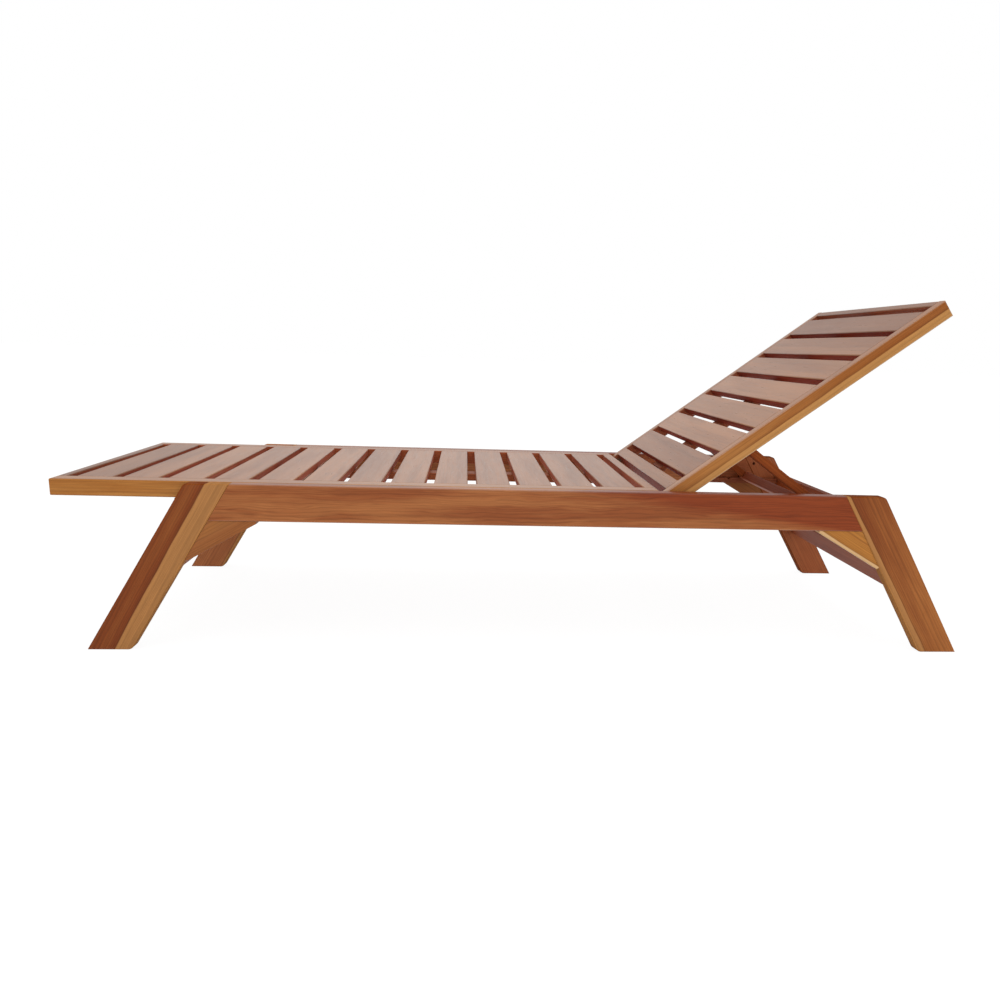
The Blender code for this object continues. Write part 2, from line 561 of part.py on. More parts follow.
def make_prop(hinge):
    """The folding prop: two arms hung from the backrest, the bar across their feet and its end pins."""
    pivot = bpy.data.objects.new("prop_axis", None)
    pivot.location = (ARM_DISTANCE, 0.0, -ARM_SINK)
    pivot.rotation_euler = (0.0, RECLINE + ARM_ANGLE, 0.0)
    pivot.parent = hinge
    PARTS.objects.link(pivot)
    half = ARM_WIDTH / 2
    foot = ARM_REACH - BAR_DEPTH / 2 - CLEARANCE
    points = tongue(half, foot, 12)
    bar_length = 2 * (RACK_INNER_Y - BAR_SIDE_CLEARANCE)
    bar = place("prop_bar", plank_mesh("prop_bar", (BAR_DEPTH, bar_length, BAR_WIDTH), 1), TEAK_RAIL,
                (ARM_REACH, 0.0, 0.0), pivot)
    ease(bar, by_weight=True)
    pin_start = bar_length / 2 - PIN_BITE
    pin_length = RAIL_INNER_Y - PIN_END_CLEARANCE - pin_start
    pin_hole = PIN_BITE + 2 * CLEARANCE
    pockets = []
    bores = []
    for side, y_sign in SIDES.items():
        pin = f"prop_pin_{side}"
        place(pin, holes_mesh(pin, rods=[((0.0, 0.0, 0.0), PIN_RADIUS, pin_length)]), TEAK_RAIL,
              (ARM_REACH, y_sign * (pin_start + pin_length / 2), 0.0), pivot)
        bores.append(((ARM_REACH, y_sign * (bar_length / 2 + CLEARANCE - pin_hole / 2), 0.0),
                      PIN_RADIUS + CLEARANCE, pin_hole))
        name = f"prop_arm_{side}"
        mesh = outline_mesh(name, points, ARM_THICKNESS)
        bm = bmesh.new()
        bm.from_mesh(mesh)
        add_tenon(bm, (1.0, 0.0, 0.0), TENON_MARGIN, ARM_TENON_LENGTH)
        bm.to_mesh(mesh)
        bm.free()
        arm = place(name, mesh, TEAK_RAIL, (0.0, y_sign * ARM_MIDDLE_Y, 0.0), pivot)
        hole = holes_mesh(f"{name}_hole", rods=[((0.0, y_sign * ARM_MIDDLE_Y, 0.0),
                                                 PROP_BOLT_RADIUS + CLEARANCE, ARM_THICKNESS * 1.2)])
        cut(arm, place_cutter(f"{name}_hole", hole, parent=pivot))
        bolt(f"prop_bolt_{side}", (ARM_DISTANCE, y_sign * (ARM_INNER_Y - CLEARANCE), -ARM_SINK), y_sign,
             PROP_BOLT_RADIUS, ARM_THICKNESS + PROP_BOLT_BITE, hinge)
        depth = ARM_TENON_LENGTH + CLEARANCE
        pockets.append(((ARM_REACH - BAR_DEPTH / 2 - CLEARANCE + depth / 2, y_sign * ARM_MIDDLE_Y, 0.0),
                        (depth, ARM_THICKNESS - 2 * TENON_MARGIN + 2 * CLEARANCE,
                         ARM_WIDTH - 2 * TENON_MARGIN + 2 * CLEARANCE), 0.0))
    cut(bar, place_cutter("prop_bar_pockets", holes_mesh("prop_bar_pockets", pockets, bores), parent=pivot))


def make_racks():
    """Notched racks inside the side rails, just under the path of the prop bar's end pins."""
    steps = 40
    path = [bar_place(RECLINE_MAX * step / steps)[1] for step in range(steps + 1)]
    top = min(path) - PIN_RADIUS - RACK_PIN_CLEARANCE
    bottom = RAIL_BOTTOM + RACK_UNDER_CLEARANCE
    end = REST_RAIL_X - CROSS_THICKNESS / 2 - RACK_END_CLEARANCE
    start = end - RACK_LENGTH
    points = [(end, top), (end, bottom), (start, bottom), (start, top)]
    stops = [bar_place(angle)[0] for angle in reversed(NOTCH_ANGLES)]
    for x in stops:
        if start + NOTCH_HALF_WIDTH < x < end - NOTCH_HALF_WIDTH:
            points += [(x - NOTCH_HALF_WIDTH, top), (x, top - NOTCH_DEPTH), (x + NOTCH_HALF_WIDTH, top)]
    for side, y_sign in SIDES.items():
        name = f"rack_{side}"
        place(name, outline_mesh(name, points, RACK_THICKNESS), TEAK_RAIL,
              (0.0, y_sign * (RACK_INNER_Y + RACK_THICKNESS / 2), 0.0))


make_legs()
make_side_rails()
make_pegs()
make_braces()
make_cross_pieces()
make_seat()
make_prop(make_backrest())
make_racks()
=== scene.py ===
"""Teak sun lounger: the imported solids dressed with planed, oiled boards and steel bolts.

Metres, +Z up. The foot end points to -X, the head end to +X, the left side to -Y.
"""

from math import cos, pi, radians, sin, tan

import bpy
import numpy as np
from mathutils import Matrix


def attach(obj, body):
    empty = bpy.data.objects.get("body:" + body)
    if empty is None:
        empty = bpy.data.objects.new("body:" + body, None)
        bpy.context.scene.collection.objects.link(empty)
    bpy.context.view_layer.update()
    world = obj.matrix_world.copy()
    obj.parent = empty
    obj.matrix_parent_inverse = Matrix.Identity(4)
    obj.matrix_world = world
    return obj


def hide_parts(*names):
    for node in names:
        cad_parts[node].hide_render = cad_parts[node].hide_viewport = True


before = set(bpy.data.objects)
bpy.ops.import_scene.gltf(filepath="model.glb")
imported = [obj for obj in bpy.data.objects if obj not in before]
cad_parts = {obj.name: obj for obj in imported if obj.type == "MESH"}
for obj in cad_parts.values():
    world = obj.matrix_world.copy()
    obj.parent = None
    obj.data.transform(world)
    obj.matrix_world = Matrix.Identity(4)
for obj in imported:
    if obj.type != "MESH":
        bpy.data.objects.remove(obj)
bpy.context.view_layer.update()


# Camera
# It stands 1.9 m off the left long side, a little above the seat, and looks slightly down and
# to the right. The lens and the shift are those of the photograph's square frame.
def standing(side, above, back, place):
    """World matrix of what looks along its own -Z: its three axes and its place are the columns."""
    columns = np.column_stack([side, above, back, place])
    return Matrix(np.vstack([columns, (0.0, 0.0, 0.0, 1.0)]).tolist())


camera_place = (-0.1490, -1.9213, 0.6547)
yaw, pitch, roll = 0.0837, 0.2165, 0.0352
focal, centre_x, centre_y, frame_width, sensor_width = 766.39, 525.89, 517.36, 1000.0, 36.0
ahead = np.array([sin(yaw) * cos(pitch), cos(yaw) * cos(pitch), -sin(pitch)])
level = np.array([cos(yaw), -sin(yaw), 0.0])
upright = np.cross(level, ahead)
right = level * cos(roll) + upright * sin(roll)
above = upright * cos(roll) - level * sin(roll)
camera = bpy.data.objects.new("camera", bpy.data.cameras.new("camera"))
camera.matrix_world = standing(right, above, -ahead, camera_place)
camera.data.sensor_width = sensor_width
camera.data.lens = focal * sensor_width / frame_width
camera.data.shift_x = (frame_width / 2 - centre_x) / frame_width
camera.data.shift_y = (centre_y - frame_width / 2) / frame_width
bpy.context.scene.collection.objects.link(camera)
bpy.context.scene.camera = camera


# Legs
# Four splayed legs sawn from 27 mm teak, in the plane of the side rails, rounded at the top outer
# corner and at the toe. The sapwood of the log's rim shows as a pale strip along the left ones' inner
# edge; on the rear left leg that strip is also a painted highlight along its lit inner edge. The right
# ones are painted lighter and redder than the left, as painted light for the shade they stand in.
def linear(hex_colour):
    """sRGB hex to linear RGBA: below 0.04045 divided by 12.92, above it raised to 2.4."""
    srgb = np.array([int(hex_colour[i:i + 2], 16) for i in (1, 3, 5)]) / 255.0
    return (*np.where(srgb < 0.04045, srgb / 12.92, ((srgb + 0.055) / 1.055) ** 2.4).tolist(), 1.0)


def emptied(block):
    """Node tree of a material or a world, without the nodes that it starts with."""
    block.use_nodes = True
    block.node_tree.nodes.clear()
    return block.node_tree


def add(tree, kind, settings, links):
    """Add a node, set its properties and free inputs, and link the other inputs."""
    made = tree.nodes.new(kind)
    for key, value in settings.items():
        if isinstance(key, str) and hasattr(made, key):
            setattr(made, key, value)
        else:
            made.inputs[key].default_value = value
    for key, output in links.items():
        tree.links.new(output, made.inputs[key])
    return made.outputs


HEARTWOOD_RADIUS = 0.150
BOARD_STEP = 4.0  # along the log, from one numbered board to the next


def oiled_teak(name, heart, dark_heart, streak, sap, streaks=0.5, line=0.20, figure=1.0,
               roughness=0.45, ior=1.25):
    """Oiled teak, worked out in the log's own metres: X along the stem, YZ across it. Wavy growth
    rings about the stem, each ending in a narrow dark line, long dark streaks, short open pores
    and, behind a dark line, the pale sapwood outside the heartwood. The oil gives a soft gloss."""
    material = bpy.data.materials.new(name)
    tree = emptied(material)
    log = add(tree, "ShaderNodeAttribute", {"attribute_name": "log"}, {})["Vector"]

    # The stem bends by 6 mm over about 900 mm, and the rings wave by 3 mm over about 120 mm.
    bend_at = add(tree, "ShaderNodeVectorMath", {"operation": "MULTIPLY", 1: (1.1, 9.0, 9.0)},
                  {0: log})[0]
    bend = add(tree, "ShaderNodeTexNoise", {"Scale": 1.0, "Detail": 2.0}, {"Vector": bend_at})["Color"]
    bend = add(tree, "ShaderNodeVectorMath", {"operation": "MULTIPLY_ADD", 1: (0.0, 0.012, 0.012),
                                              2: (0.0, -0.006, -0.006)}, {0: bend})[0]
    wave_at = add(tree, "ShaderNodeVectorMath", {"operation": "MULTIPLY", 1: (8.0, 40.0, 40.0)},
                  {0: log})[0]
    wave = add(tree, "ShaderNodeTexNoise", {"Scale": 1.0, "Detail": 2.0}, {"Vector": wave_at})["Color"]
    wave = add(tree, "ShaderNodeVectorMath",
               {"operation": "MULTIPLY_ADD", 1: (0.0, 0.006 * figure, 0.006 * figure),
                2: (0.0, -0.003 * figure, -0.003 * figure)}, {0: wave})[0]
    grown = add(tree, "ShaderNodeVectorMath", {"operation": "ADD"}, {0: log, 1: bend})[0]
    grown = add(tree, "ShaderNodeVectorMath", {"operation": "ADD"}, {0: grown, 1: wave})[0]
    across = add(tree, "ShaderNodeVectorMath", {"operation": "MULTIPLY", 1: (0.0, 1.0, 1.0)},
                 {0: grown})[0]
    radius = add(tree, "ShaderNodeVectorMath", {"operation": "LENGTH"}, {0: across})["Value"]

    # Rings of about 5 mm, uneven from year to year, with the dark late wood in their last part.
    years_at = add(tree, "ShaderNodeMath", {"operation": "MULTIPLY", 1: 45.0}, {0: radius})[0]
    years = add(tree, "ShaderNodeTexNoise", {"noise_dimensions": "1D", "Scale": 1.0, "Detail": 1.0},
                {"W": years_at})[0]
    count = add(tree, "ShaderNodeMath", {"operation": "DIVIDE", 1: 0.0052}, {0: radius})[0]
    count = add(tree, "ShaderNodeMath", {"operation": "MULTIPLY_ADD", 1: 5.0}, {0: years, 2: count})[0]
    season = add(tree, "ShaderNodeMath", {"operation": "FRACT"}, {0: count})[0]
    late = add(tree, "ShaderNodeMapRange", {"interpolation_type": "SMOOTHSTEP", "From Min": 0.35,
                                            "From Max": 0.92}, {"Value": season})[0]
    early = add(tree, "ShaderNodeMapRange", {"interpolation_type": "SMOOTHSTEP", "From Min": 0.92,
                                             "From Max": 1.0, "To Min": 1.0, "To Max": 0.0},
                {"Value": season})[0]
    ring_line = add(tree, "ShaderNodeMath", {"operation": "MULTIPLY"}, {0: late, 1: early})[0]

    # Fibres 2.5 mm apart and 70 mm long, and pores of 0.3 mm drawn 1 mm wide so that they show.
    fibre_at = add(tree, "ShaderNodeVectorMath", {"operation": "MULTIPLY", 1: (14.0, 400.0, 400.0)},
                   {0: grown})[0]
    fibre = add(tree, "ShaderNodeTexNoise", {"Scale": 1.0, "Detail": 3.0}, {"Vector": fibre_at})[0]
    pore_at = add(tree, "ShaderNodeVectorMath", {"operation": "MULTIPLY", 1: (40.0, 950.0, 950.0)},
                  {0: log})[0]
    pore = add(tree, "ShaderNodeTexNoise", {"Scale": 1.0, "Detail": 1.0}, {"Vector": pore_at})[0]
    pore = add(tree, "ShaderNodeMapRange", {"From Min": 0.45, "From Max": 0.75}, {"Value": pore})[0]

    # Streaks 40 mm wide and 450 mm long. Where they are dense, the board's own tone is darker too.
    streak_at = add(tree, "ShaderNodeVectorMath", {"operation": "MULTIPLY", 1: (2.2, 26.0, 26.0)},
                    {0: grown})[0]
    patch = add(tree, "ShaderNodeTexNoise", {"Scale": 1.0, "Detail": 4.0, "Roughness": 0.6},
                {"Vector": streak_at})[0]
    dark = add(tree, "ShaderNodeMapRange", {"interpolation_type": "SMOOTHSTEP", "From Min": 0.40,
                                            "From Max": 0.64, "To Max": streaks}, {"Value": patch})[0]
    drift = add(tree, "ShaderNodeMapRange", {"To Min": -0.6, "To Max": 0.6}, {"Value": patch})[0]
    own = add(tree, "ShaderNodeAttribute", {"attribute_name": "tone"}, {})["Fac"]
    own = add(tree, "ShaderNodeMath", {"operation": "ADD"}, {0: own, 1: drift})[0]
    wood = add(tree, "ShaderNodeMix", {"data_type": "RGBA", 6: linear(heart), 7: linear(dark_heart)},
               {0: own})[2]
    wood = add(tree, "ShaderNodeMix", {"data_type": "RGBA", 7: linear(streak)}, {0: dark, 6: wood})[2]

    # The heartwood ends within 3 mm, behind a dark line of 5 mm.
    rim = add(tree, "ShaderNodeMapRange", {"interpolation_type": "SMOOTHSTEP",
                                           "From Min": HEARTWOOD_RADIUS - 0.0015,
                                           "From Max": HEARTWOOD_RADIUS + 0.0015}, {"Value": radius})[0]
    # Where a board's cut leaves only a thin rim of this pale sapwood along an edge, it is a painted highlight
    # (the rear left brace and leg).
    wood = add(tree, "ShaderNodeMix", {"data_type": "RGBA", 7: linear(sap)}, {0: rim, 6: wood})[2]
    rim_line = add(tree, "ShaderNodeMapRange", {"interpolation_type": "SMOOTHSTEP",
                                                "From Min": HEARTWOOD_RADIUS - 0.006,
                                                "From Max": HEARTWOOD_RADIUS - 0.001},
                   {"Value": radius})[0]
    rim_line = add(tree, "ShaderNodeMath", {"operation": "SUBTRACT"}, {0: rim_line, 1: rim})[0]

    # Brightness: less at the ring lines and in the pores, more or less with the fibres.
    light = add(tree, "ShaderNodeMath", {"operation": "MULTIPLY_ADD", 1: -line, 2: 1.0},
                {0: ring_line})[0]
    light = add(tree, "ShaderNodeMath", {"operation": "MULTIPLY_ADD", 1: -0.22},
                {0: rim_line, 2: light})[0]
    light = add(tree, "ShaderNodeMath", {"operation": "MULTIPLY_ADD", 1: -0.05},
                {0: pore, 2: light})[0]
    fibre_light = add(tree, "ShaderNodeMapRange", {"From Min": 0.25, "From Max": 0.75,
                                                   "To Min": -0.10, "To Max": 0.10},
                      {"Value": fibre})[0]
    light = add(tree, "ShaderNodeMath", {"operation": "ADD"}, {0: light, 1: fibre_light})[0]
    wood = add(tree, "ShaderNodeVectorMath", {"operation": "SCALE"}, {0: wood, "Scale": light})[0]

    # Gloss and relief: pores duller and lower, fibres and ring lines a little raised.
    gloss = add(tree, "ShaderNodeMapRange", {"From Min": 0.2, "From Max": 0.8,
                                             "To Min": roughness - 0.05, "To Max": roughness + 0.07},
                {"Value": fibre})[0]
    gloss = add(tree, "ShaderNodeMath", {"operation": "MULTIPLY_ADD", 1: 0.03}, {0: pore, 2: gloss})[0]
    height = add(tree, "ShaderNodeMath", {"operation": "MULTIPLY_ADD", 1: 0.5},
                 {0: fibre, 2: ring_line})[0]
    height = add(tree, "ShaderNodeMath", {"operation": "MULTIPLY_ADD", 1: -0.1},
                 {0: pore, 2: height})[0]
    relief = add(tree, "ShaderNodeBump", {"Strength": 0.15, "Distance": 0.0003}, {"Height": height})[0]
    shader = add(tree, "ShaderNodeBsdfPrincipled", {"IOR": ior},
                 {"Base Color": wood, "Roughness": gloss, "Normal": relief})[0]
    add(tree, "ShaderNodeOutputMaterial", {}, {"Surface": shader})
    return material


def outline(corners, radii, drawn_in, steps):
    """Polygon with its edges drawn in by given amounts and an arc in each corner. A corner goes where
    its two moved edges meet; its arc leaves the edges r / tan(half angle) from there and runs between
    the two edge normals. Arc radii shrink with the edges, so that the rounding stays concentric."""
    sharpest = 0.0002
    edge = np.roll(corners, -1, 0) - corners
    inward = np.column_stack([-edge[:, 1], edge[:, 0]]) / np.linalg.norm(edge, axis=1)[:, None]
    before, moved = np.roll(inward, 1, 0), np.roll(drawn_in, 1)
    turn = before[:, 0] * inward[:, 1] - before[:, 1] * inward[:, 0]
    shift = np.column_stack([moved * inward[:, 1] - drawn_in * before[:, 1],
                             before[:, 0] * drawn_in - inward[:, 0] * moved]) / turn[:, None]
    at = corners + shift
    radius = np.maximum(radii - np.minimum(moved, drawn_in), sharpest)[:, None]
    back = np.roll(at, 1, 0) - at
    back /= np.linalg.norm(back, axis=1)[:, None]
    on = np.roll(at, -1, 0) - at
    on /= np.linalg.norm(on, axis=1)[:, None]
    half = np.arccos(np.clip((back * on).sum(1), -1.0, 1.0))[:, None] / 2
    middle = (back + on) / np.linalg.norm(back + on, axis=1)[:, None]
    centre = at + middle * radius / np.sin(half)
    first = at + back * radius / np.tan(half) - centre
    last = at + on * radius / np.tan(half) - centre
    sweep = (pi - 2 * half)[:, :, None]
    share = np.linspace(0.0, 1.0, steps + 1)[None, :, None]
    arc = first[:, None] * np.sin((1 - share) * sweep) + last[:, None] * np.sin(share * sweep)
    return (centre[:, None] + arc / np.sin(sweep)).reshape(-1, 2)


def board(name, corners, thickness, origin, axes, grain, cut, tone, faces, edges, radii=0.0, eased=1.0,
          arris=0.0022, steps=1, leaning=0.0, pale_arris=False):
    """A planed board: its outline, in the plane of the two axes, carried through the thickness.
    Going up, the outline is drawn in by arris (1 - sin a) at a height of arris (1 - cos a) above the
    lower face, stands straight, and is drawn in again below the upper face. Flat faces close it.
    The log attribute is the place in the log: along the grain, and across it from the stem's heart,
    which lies cut[1] sideways and cut[2] through from the board's middle. Tone, 0 light to 1 dark, may
    run from one end of the grain to the other and, by leaning per metre, sideways. The flat faces have
    one finish and the edges another, which the arrises share unless pale_arris gives them the first."""
    corners = np.array(corners, float)
    radii = np.broadcast_to(np.array(radii, float), len(corners))
    eased = np.broadcast_to(np.array(eased, float), len(corners))
    following = np.roll(corners, -1, 0)
    if (corners[:, 0] * following[:, 1] - corners[:, 1] * following[:, 0]).sum() < 0.0:
        corners, radii, eased = corners[::-1], radii[::-1], np.roll(eased[::-1], -1)
    angle = np.linspace(0.0, pi / 2, 4)
    inset = arris * np.concatenate([1 - np.sin(angle), 1 - np.cos(angle)])
    rise = np.concatenate([arris * (1 - np.cos(angle)), thickness - arris * (1 - np.sin(angle))])
    rise -= thickness / 2
    flat = np.array([outline(corners, radii, eased * depth, steps) for depth in inset])
    rings, points = flat.shape[:2]
    heights = np.broadcast_to(rise[:, None, None], (rings, points, 1))
    place = np.concatenate([flat, heights], 2).reshape(-1, 3)
    u, v = np.array(axes[0], float), np.array(axes[1], float)
    verts = np.array(origin, float) + place @ np.array([u, v, np.cross(u, v)])
    index = np.arange(rings * points).reshape(rings, points)
    ahead_of = np.roll(index, -1, 1)
    quads = np.stack([index[:-1], ahead_of[:-1], ahead_of[1:], index[1:]], 2).reshape(-1, 4)
    mesh = bpy.data.meshes.new(name)
    mesh.from_pydata(verts.tolist(), [], [*quads.tolist(), index[0, ::-1].tolist(), index[-1].tolist()])
    on_edge = np.arange(rings - 1) == len(angle) - 1
    on_side = np.arange(points) % (steps + 1) == steps
    smooth = ~(on_edge[:, None] & on_side[None, :])
    mesh.polygons.foreach_set("use_smooth", np.concatenate([smooth.ravel(), [False, False]]))
    along = place[:, 0] * cos(grain) + place[:, 1] * sin(grain)
    sideways = place[:, 1] * cos(grain) - place[:, 0] * sin(grain)
    along += (cut[0] + 0.5) * BOARD_STEP - (along.min() + along.max()) / 2
    sideways -= (sideways.min() + sideways.max()) / 2
    log = np.column_stack([along, sideways - cut[1], place[:, 2] - cut[2]])
    tone = np.interp(along, (along.min(), along.max()), np.broadcast_to(tone, 2)) + leaning * sideways
    mesh.attributes.new("log", "FLOAT_VECTOR", "POINT").data.foreach_set("vector", log.ravel())
    mesh.attributes.new("tone", "FLOAT", "POINT").data.foreach_set("value", tone)
    mesh.materials.append(faces)
    mesh.materials.append(edges)
    edge_finish = np.repeat(on_edge | (not pale_arris), points)
    finish = np.concatenate([edge_finish, [False, False]]).astype(int)
    mesh.polygons.foreach_set("material_index", finish)
    piece = bpy.data.objects.new(name, mesh)
    bpy.context.scene.collection.objects.link(piece)
    return piece


def fit(piece, body, slot, *stands_for):
    """Let a piece move with its body and stand for its solids. The slot is not used."""
    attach(piece, body)
    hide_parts(*stands_for)


X, Y, Z = np.eye(3)
SIDES = {"left": -1.0, "right": 1.0}
ENDS = {"front": -1.0, "rear": 1.0}
ROUND_STEPS = 6  # facets in a rounded corner that shows
seat_height, half_width, side_thickness = 0.362, 0.330, 0.027
side_y = half_width - side_thickness / 2
leg_width, leg_splay = 0.0776, radians(31.1)
leg_run, leg_shift = leg_width / cos(leg_splay), seat_height * tan(leg_splay)
leg_top = {"front": -0.7200, "rear": 0.7789}
leg_radii = (0.013, 0.0, 0.014, 0.0)
leg_colours = "#a46430", "#7a3b15", "#703210", "#a67240"
# The right legs' colours are a lightened copy of the teak: painted light for their shaded side.
leg_teak = {"left": oiled_teak("oiled_teak_left_legs", *leg_colours, streaks=0.35),
            "right": oiled_teak("oiled_teak_right_legs_painted_light", "#b27044", "#a05832", "#8c4a28", "#b07c48",
                                streaks=0.35)}
leg_edge_teak = oiled_teak("oiled_teak_leg_edges", *leg_colours, streaks=0.35, roughness=0.7, ior=1.1)
# The rear left cut lays the pale sapwood along the leg's inner edge, where it also stands for a painted
# highlight on that lit edge.
leg_cuts = {"front_left": (1, 0.142, -0.02), "front_right": (2, 0.116, 0.03),
            "rear_left": (3, -0.120, -0.02), "rear_right": (4, 0.090, 0.02)}
leg_slants = {"front_left": 0.03, "front_right": 0.0, "rear_left": 0.016, "rear_right": 0.0}
leg_tones = {"front_left": 1.0, "front_right": 0.0, "rear_left": (-0.3, 0.9), "rear_right": 1.0}
for end, way in ENDS.items():
    top = leg_top[end]
    corners = [(top, seat_height), (top + way * leg_shift, 0.0),
               (top + way * (leg_shift - leg_run), 0.0), (top - way * leg_run, seat_height)]
    for side, out in SIDES.items():
        which = f"{end}_{side}"
        leg = board(f"leg_{which}", corners, side_thickness, (0.0, out * side_y, 0.0), (X, Z),
                    pi / 2 + way * leg_splay + leg_slants[which], leg_cuts[which], leg_tones[which],
                    leg_teak[side], leg_edge_teak, radii=leg_radii, steps=ROUND_STEPS)
        fit(leg, "base", "teak_legs", f"{end}_leg_{side}")


# Side rails
# Two deep teak rails between the legs, flush with them on both faces and cut to their slope. The left
# one is light at the foot and darkens, from its top down, towards the head. The right one takes the
# right legs' lightened colours, painted light that makes up for the shade on its inner face.
CLEARANCE = 0.0003  # between pieces that touch
SHARP_ENDS = (0.0, 1.0, 0.0, 1.0)  # long edges eased, tenoned ends left sharp
rail_height = 0.078
rail_low = seat_height - rail_height
rail_grain, rail_tone, rail_leaning = 0.008, (-6.5, 2.9), 40.0
rail_colours = "#a06236", "#843a18", "#763010", "#9e6030"
# The right rail shares the right legs' lightened material: painted light.
rail_teak = {"left": oiled_teak("oiled_teak_left_rail", *rail_colours, streaks=0.6, figure=3.0),
             "right": leg_teak["right"]}
rail_edge_teak = oiled_teak("oiled_teak_rail_edges", *rail_colours, streaks=0.7, roughness=0.34, ior=1.6)
rail_cuts = {"left": (227, 0.09, -0.01), "right": (7, 0.09, 0.02)}
ends = [leg_top[end] + way * ((seat_height - z) * tan(leg_splay) - leg_run - CLEARANCE)
        for end, way in ENDS.items() for z in (seat_height, rail_low)]
corners = [(ends[0], seat_height), (ends[1], rail_low), (ends[3], rail_low), (ends[2], seat_height)]
for side, out in SIDES.items():
    rail = board(f"rail_{side}", corners, side_thickness, (0.0, out * side_y, 0.0), (X, Z), rail_grain,
                 rail_cuts[side], rail_tone, rail_teak[side], rail_edge_teak, eased=SHARP_ENDS,
                 leaning=rail_leaning)
    fit(rail, "base", "teak_rails", f"side_rail_{side}")


# Corner braces
# Triangular blocks with blunt noses, glued into the corners between rails and legs, 2 mm behind
# their faces. Golden offcuts, with a well rounded arris along the long edge. On the rear left one a thin
# cream strip of sapwood along that arris is a painted highlight.
brace_reach, brace_nose, brace_recess = 0.098, 0.005, 0.002
brace_low, brace_gap, brace_grain = rail_low - CLEARANCE, 0.0004, radians(29.4)
brace_teak = oiled_teak("oiled_teak_braces", "#ac7030", "#925a30", "#86481c", "#cca474", streaks=0.35)
# The rear left cut lays the cream sapwood in a thin strip along the long edge: a painted highlight.
brace_cuts = {"front_left": (10, 0.05, 0.06), "front_right": (11, 0.05, 0.06),
              "rear_left": (12, 0.1285, 0.0), "rear_right": (13, 0.05, 0.06)}
brace_tones = {"front_left": 1.0, "front_right": 1.0, "rear_left": 0.0, "rear_right": 1.0}
for end, way in ENDS.items():
    corner = np.array([leg_top[end] + way * ((seat_height - brace_low) * tan(leg_splay) - leg_run - brace_gap),
                       brace_low])
    down_leg = np.array([way * sin(leg_splay), -cos(leg_splay)])
    off_leg = np.array([-way * cos(leg_splay), -sin(leg_splay)])
    rail_tip, leg_tip = corner - (way * brace_reach, 0.0), corner + down_leg * brace_reach
    corners = [corner, rail_tip, rail_tip - (0.0, brace_nose), leg_tip + off_leg * brace_nose, leg_tip]
    for side, out in SIDES.items():
        which = f"{end}_{side}"
        brace = board(f"brace_{which}", corners, side_thickness - 2 * brace_recess,
                      (0.0, out * side_y, 0.0), (X, Z), -way * brace_grain, brace_cuts[which],
                      brace_tones[which], brace_teak, brace_teak, eased=(0.0, 1.0, 1.0, 1.0, 0.0))
        fit(brace, "base", "teak_frame", f"{end}_brace_{side}")


# Cross pieces
# Two rails and two stretchers, 20 mm thick, tie the side frames together and are tenoned into the
# legs. The rear rail sits low, so that the backrest can lie flat on it.
def oblong(x_from, x_to, y_from, y_to):
    """Corners of a rectangle, from its first corner along X, then along Y and back."""
    return [(x_from, y_from), (x_to, y_from), (x_to, y_to), (x_from, y_to)]


inner_y = half_width - side_thickness - CLEARANCE
cross_thickness, cross_height, stretcher_height, stretcher_z = 0.020, 0.065, 0.066, 0.161
stretcher_shift = (seat_height - stretcher_z) * tan(leg_splay)
front_up = np.array([sin(leg_splay), 0.0, cos(leg_splay)])
rear_up = np.array([-sin(leg_splay), 0.0, cos(leg_splay)])
cross_places = {
    "front_cross_rail": ((-0.7395, 0.0, 0.2942), Z, cross_height),
    "front_stretcher": ((leg_top["front"] - stretcher_shift + leg_run / 2, 0.0, stretcher_z),
                        front_up, stretcher_height),
    "rear_rest_rail": ((0.7989, 0.0, 0.2800), Z, cross_height),
    "rear_stretcher": ((leg_top["rear"] + stretcher_shift - leg_run / 2, 0.0, stretcher_z),
                       rear_up, stretcher_height),
}
cross_teak = oiled_teak("oiled_teak_cross_pieces", "#984a20", "#904c32", "#7a3418", "#a06a40",
                        roughness=0.5, ior=1.2)
cross_tones = (0.3, 0.7, 0.0, 1.0)
for number, (node, (middle, upwards, height)) in enumerate(cross_places.items()):
    piece = board(f"cross_{node}", oblong(-height / 2, height / 2, -inner_y, inner_y), cross_thickness,
                  middle, (upwards, Y), pi / 2, (16 + number, 0.06, 0.05), cross_tones[number],
                  cross_teak, cross_teak, eased=SHARP_ENDS)
    fit(piece, "base", "teak_rails", node)


# Seat stiles
# Two slim stiles inside the side rails carry the slats. They run past the front legs to the foot end,
# where their outer faces show, golden on the left and red-brown on the right.
foot_end, seat_end = -0.9965, 0.2768
stile_width, seat_depth = 0.038, 0.035
stile_outer = inner_y
stile_inner = stile_outer - stile_width
stile_teak = {"left": oiled_teak("oiled_teak_left_stiles", "#b0783c", "#823c0c", "#94561a", "#b07c44",
                                 line=0.16),
              "right": cross_teak}
stile_top_teak = oiled_teak("oiled_teak_stile_tops", "#a87650", "#94603c", "#946040", "#b48c64",
                            line=0.14, roughness=0.30, ior=1.6)
stile_cuts = {"left": (22, 0.0, 0.10), "right": (23, 0.05, 0.06)}
stile_tones = {"left": 0.0, "right": 0.6}
for side, out in SIDES.items():
    corners = oblong(foot_end, seat_end, stile_inner * out, stile_outer * out)
    stile = board(f"stile_seat_{side}", corners, seat_depth, (0.0, 0.0, seat_height - seat_depth / 2),
                  (X, Y), 0.0, stile_cuts[side], stile_tones[side], stile_top_teak, stile_teak[side])
    fit(stile, "base", "teak_frame", f"seat_stile_{side}")


